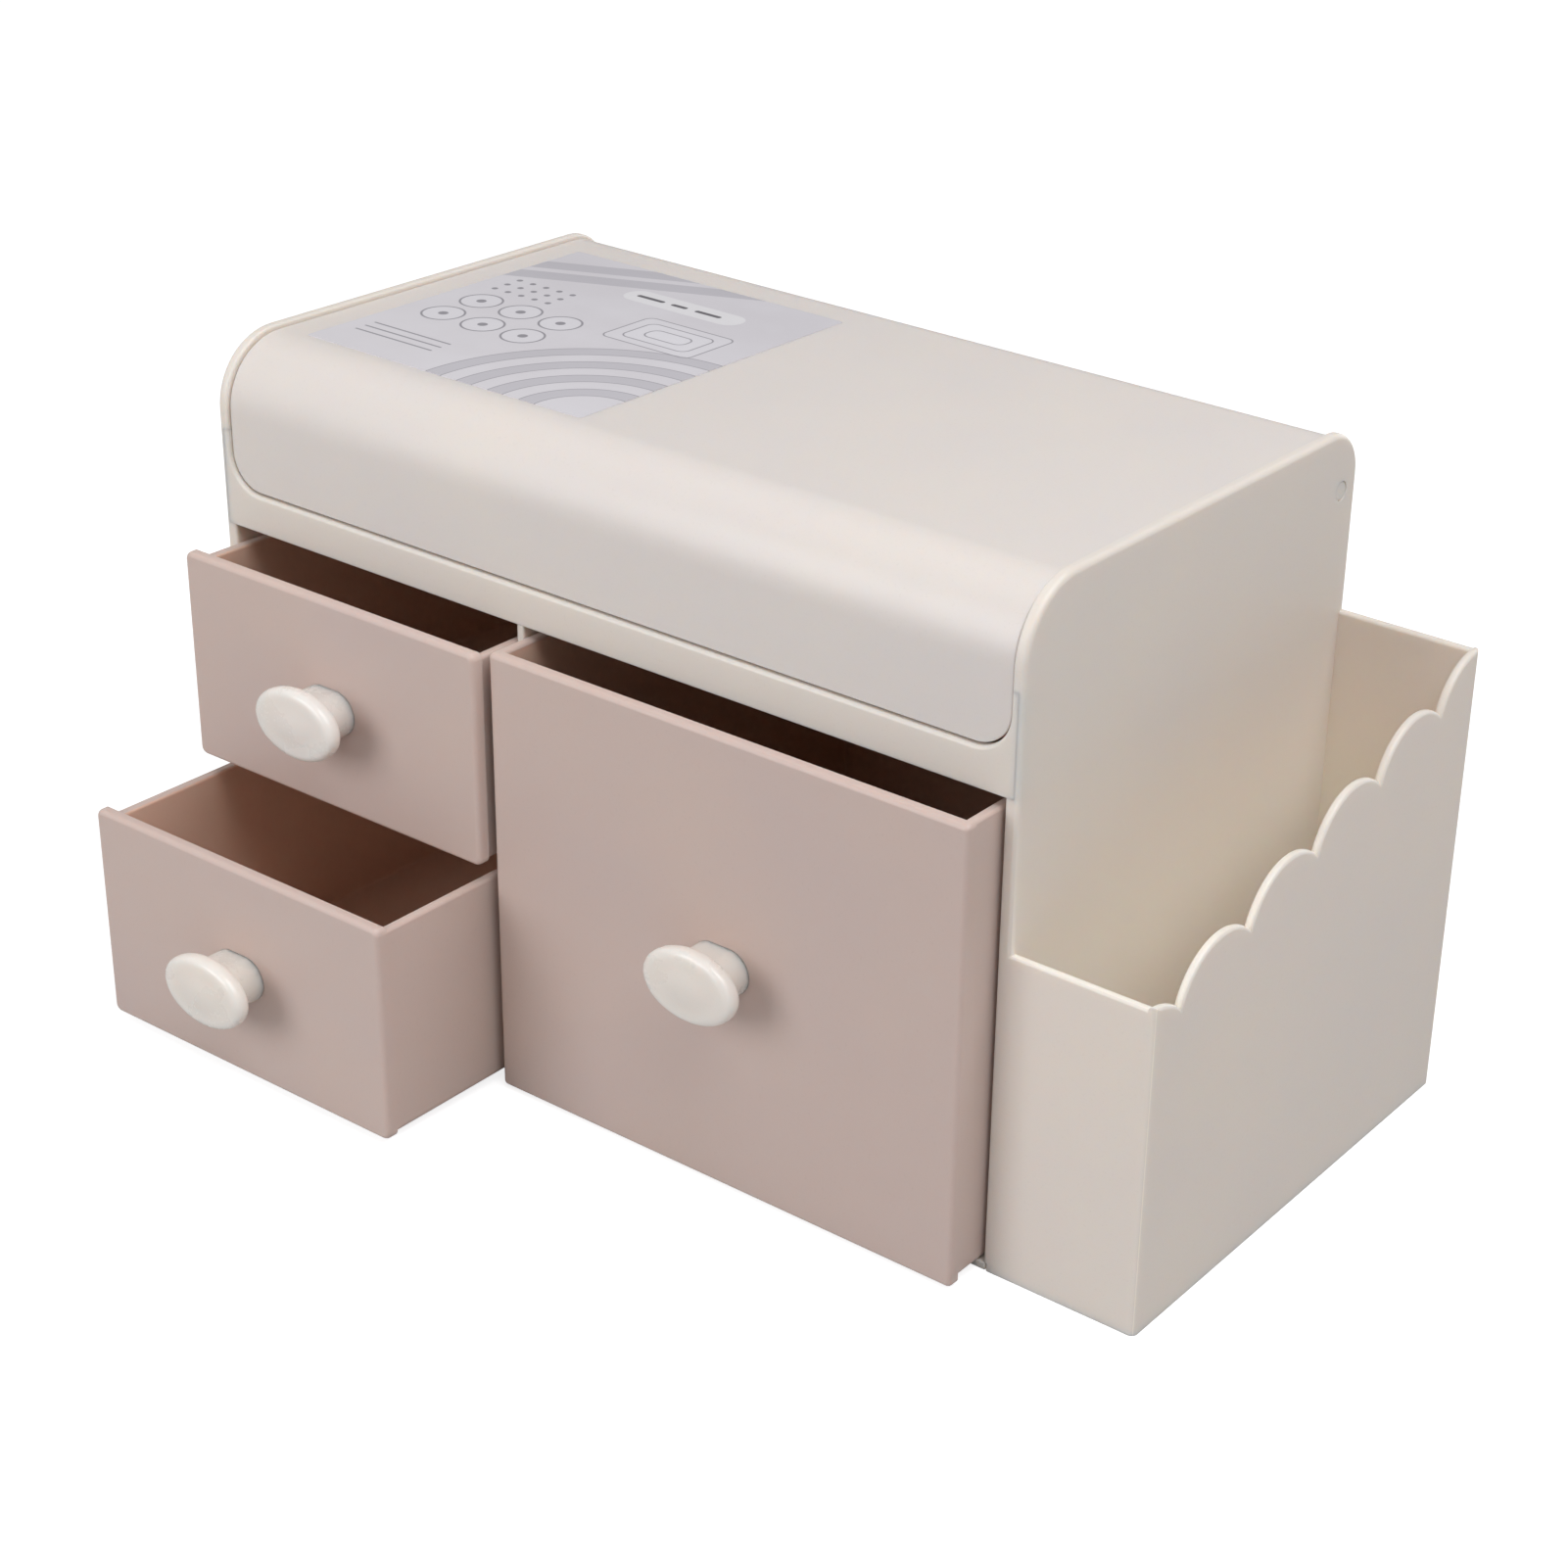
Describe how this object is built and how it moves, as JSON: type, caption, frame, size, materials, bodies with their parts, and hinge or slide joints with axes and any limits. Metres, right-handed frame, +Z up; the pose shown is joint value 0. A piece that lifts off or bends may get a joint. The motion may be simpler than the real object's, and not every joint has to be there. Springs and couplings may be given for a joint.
{
  "type": "tabletop drawer organiser",
  "caption": "Moulded plastic tabletop chest with a flip-up curved lid over a top tray, pull-out drawers with oval knobs, and an open scalloped side pocket.",
  "frame": {"origin": "centre of the chest's base, without the pocket, on the surface that it stands on", "axes": "+X to the right as seen from the front, towards the pocket; +Y to the rear, against the drawers' opening direction; +Z up"},
  "size_m": [0.277, 0.198, 0.166],
  "materials": {
    "shell": "satin cream moulded plastic",
    "lid": "satin cream moulded plastic",
    "pin": "satin cream moulded plastic",
    "label": "thin printed film, satin",
    "drawer": "satin dusty pink moulded plastic",
    "knob": "glossy off-white plastic",
    "screw": "zinc plated steel"
  },
  "bodies": {
    "carcass": {"base_plate": "shell", "side_panel_left": "shell", "side_panel_right_with_pocket": "shell", "back_panel": "shell", "centre_divider": "shell", "drawer_shelf": "shell", "top_deck": "shell", "lid_hinge_pin_left": "pin", "lid_hinge_pin_right": "pin"},
    "lid": {"lid": "lid", "lid_label": "label"},
    "drawer_top_left": {"drawer_top_left": "drawer", "knob_top_left": "knob", "knob_screw_top_left": "screw"},
    "drawer_bottom_left": {"drawer_bottom_left": "drawer", "knob_bottom_left": "knob", "knob_screw_bottom_left": "screw"},
    "drawer_right": {"drawer_right": "drawer", "knob_right": "knob", "knob_screw_right": "screw"}
  },
  "joints": [
    {"name": "lid_hinge", "type": "hinge", "parent": "carcass", "child": "lid", "pos_m": [0, 0.061, 0.151], "axis": [-1, 0, 0], "range_deg": [0, 100]},
    {"name": "top_left_slide", "type": "slide", "parent": "carcass", "child": "drawer_top_left", "axis": [0, -1, 0], "range_m": [-0.0122, 0.0856]},
    {"name": "bottom_left_slide", "type": "slide", "parent": "carcass", "child": "drawer_bottom_left", "axis": [0, -1, 0], "range_m": [-0.0456, 0.0522]},
    {"name": "right_slide", "type": "slide", "parent": "carcass", "child": "drawer_right", "axis": [0, -1, 0], "range_m": [-0.0084, 0.0894]}
  ]
}
